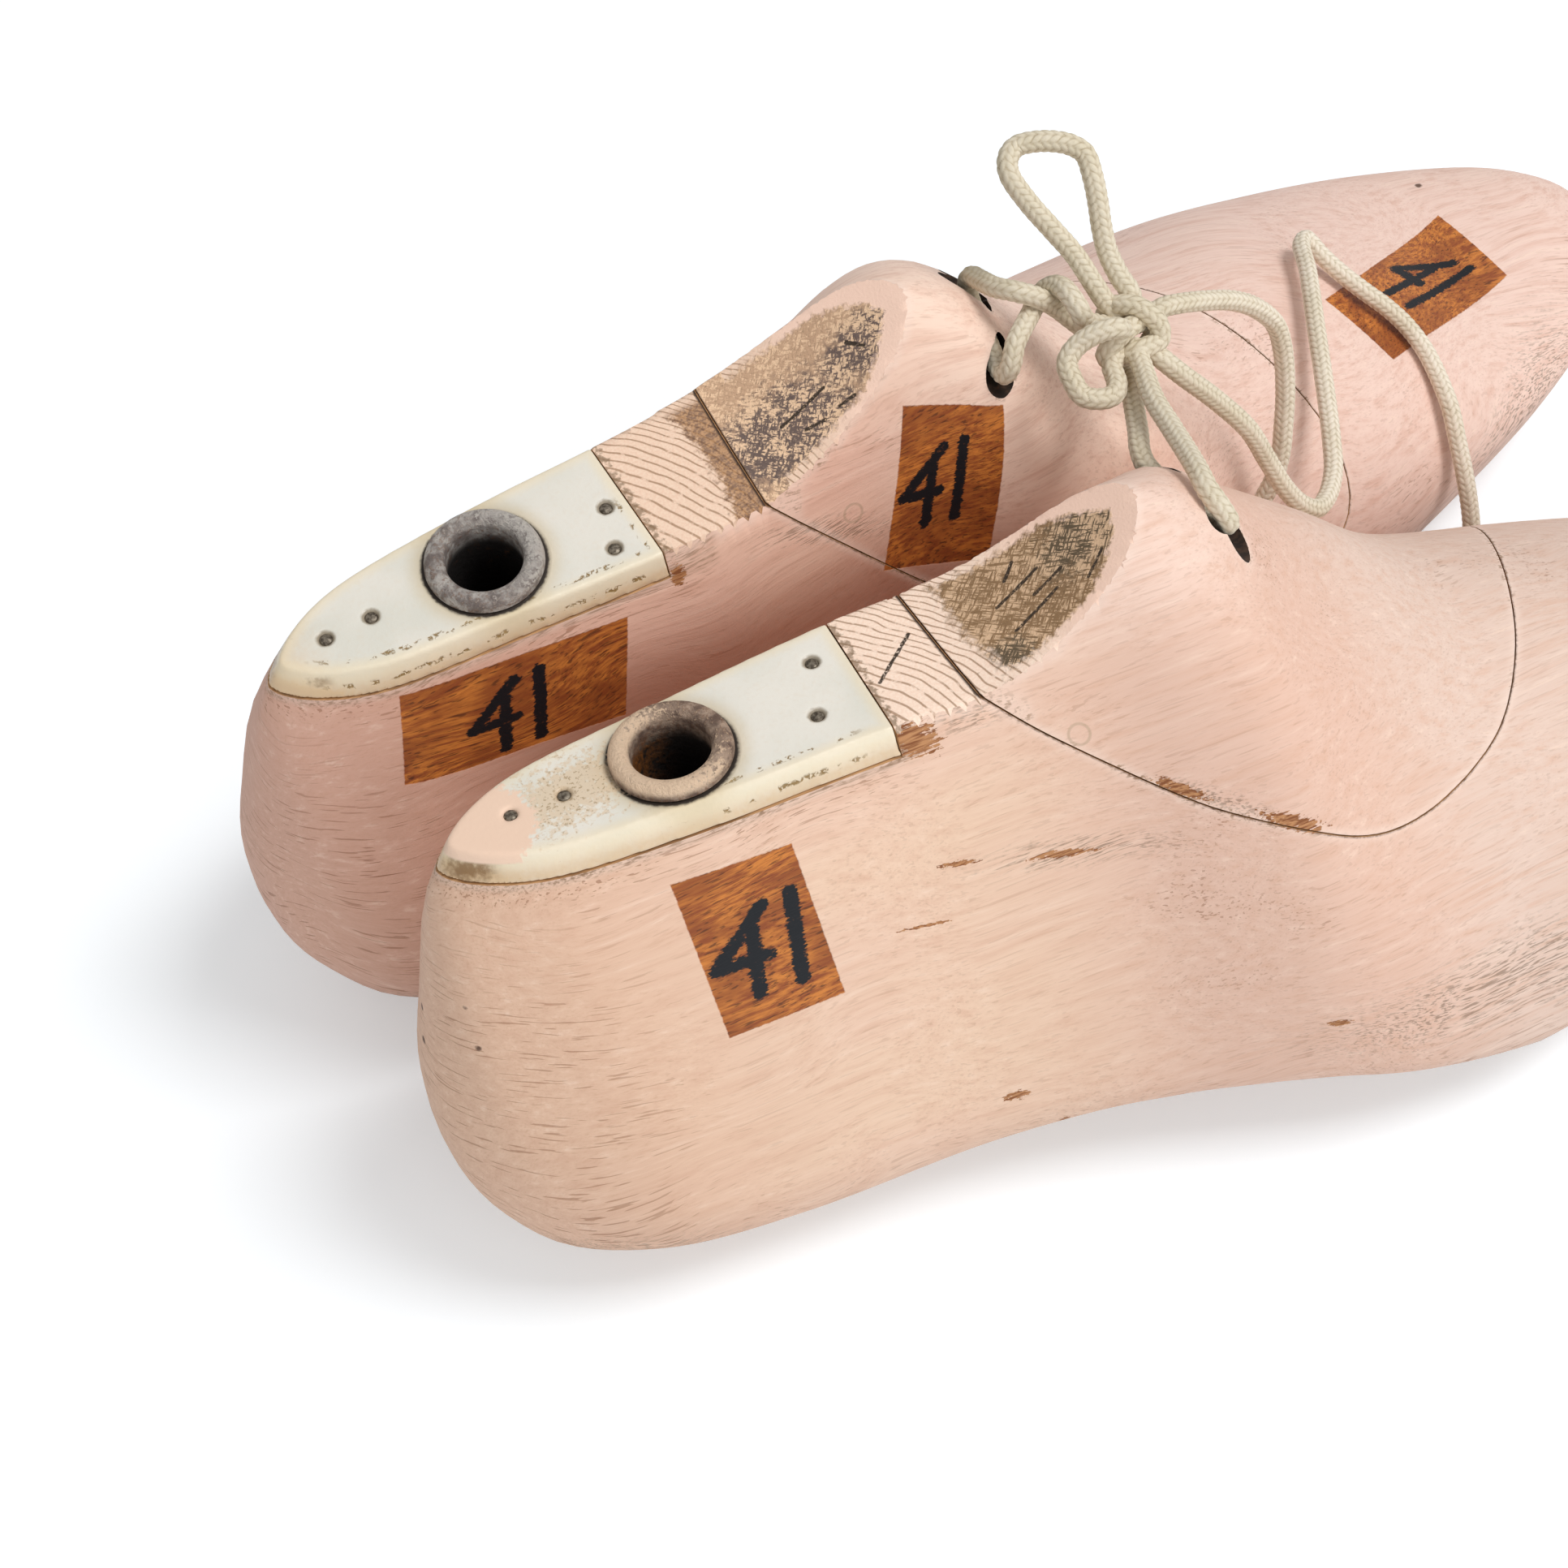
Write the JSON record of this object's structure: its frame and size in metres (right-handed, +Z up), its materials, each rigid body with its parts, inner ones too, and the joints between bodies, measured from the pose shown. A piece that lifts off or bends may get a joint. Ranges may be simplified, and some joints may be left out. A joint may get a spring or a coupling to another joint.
{
  "type": "cobbler last",
  "caption": "Wooden shoe lasts with lift-out instep blocks, plastic heel plates with steel sockets, and a cotton cord through the blocks that ties them together.",
  "frame": {"origin": "middle of the footprint of the two lasts, on the surface they stand on", "axes": "+X towards the toes, +Y from the left last to the right one, +Z up"},
  "size_m": [0.2934, 0.1785, 0.1218],
  "materials": {
    "painted_wood": "chalky pale pink paint over beech, worn at the edges",
    "painted_block": "chalky pale pink paint over beech, sawn grey top",
    "ivory_plastic": "ivory, slightly translucent, yellowed at the edges",
    "rusted_steel": "dark, pitted and rusty",
    "nail_steel": "dull, tarnished",
    "strap_steel": "plain bright steel",
    "cotton_cord": "braided, off-white"
  },
  "bodies": {
    "lasts": {"left_last_body": "painted_wood", "left_heel_plate": "ivory_plastic", "left_socket": "rusted_steel", "left_catch_pin": "strap_steel", "left_plate_nail_1": "nail_steel", "left_plate_nail_2": "nail_steel", "left_plate_nail_3": "nail_steel", "left_plate_nail_4": "nail_steel", "right_last_body": "painted_wood", "right_heel_plate": "ivory_plastic", "right_socket": "rusted_steel", "right_catch_pin": "strap_steel", "right_plate_nail_1": "nail_steel", "right_plate_nail_2": "nail_steel", "right_plate_nail_3": "nail_steel", "right_plate_nail_4": "nail_steel"},
    "left_block": {"left_instep_block": "painted_block", "left_block_strap": "strap_steel", "left_strap_pin": "strap_steel", "cord_left_loop": "cotton_cord", "cord_right_loop": "cotton_cord", "cord_knot": "cotton_cord", "cord_bow_loop": "cotton_cord", "cord_small_loop": "cotton_cord", "cord_short_end": "cotton_cord", "cord_long_end": "cotton_cord"},
    "right_block": {"right_instep_block": "painted_block", "right_block_strap": "strap_steel", "right_strap_pin": "strap_steel"}
  },
  "joints": [
    {"name": "left_block_lift", "type": "slide", "parent": "lasts", "child": "left_block", "axis": [-0.1961, 0, 0.9806], "range_m": [0, 0.018]},
    {"name": "right_block_lift", "type": "slide", "parent": "lasts", "child": "right_block", "axis": [-0.1961, 0, 0.9806], "range_m": [0, 0.018]}
  ],
  "couplings": [
    {"joint": "right_block_lift", "follows": "left_block_lift", "ratio": 1}
  ]
}
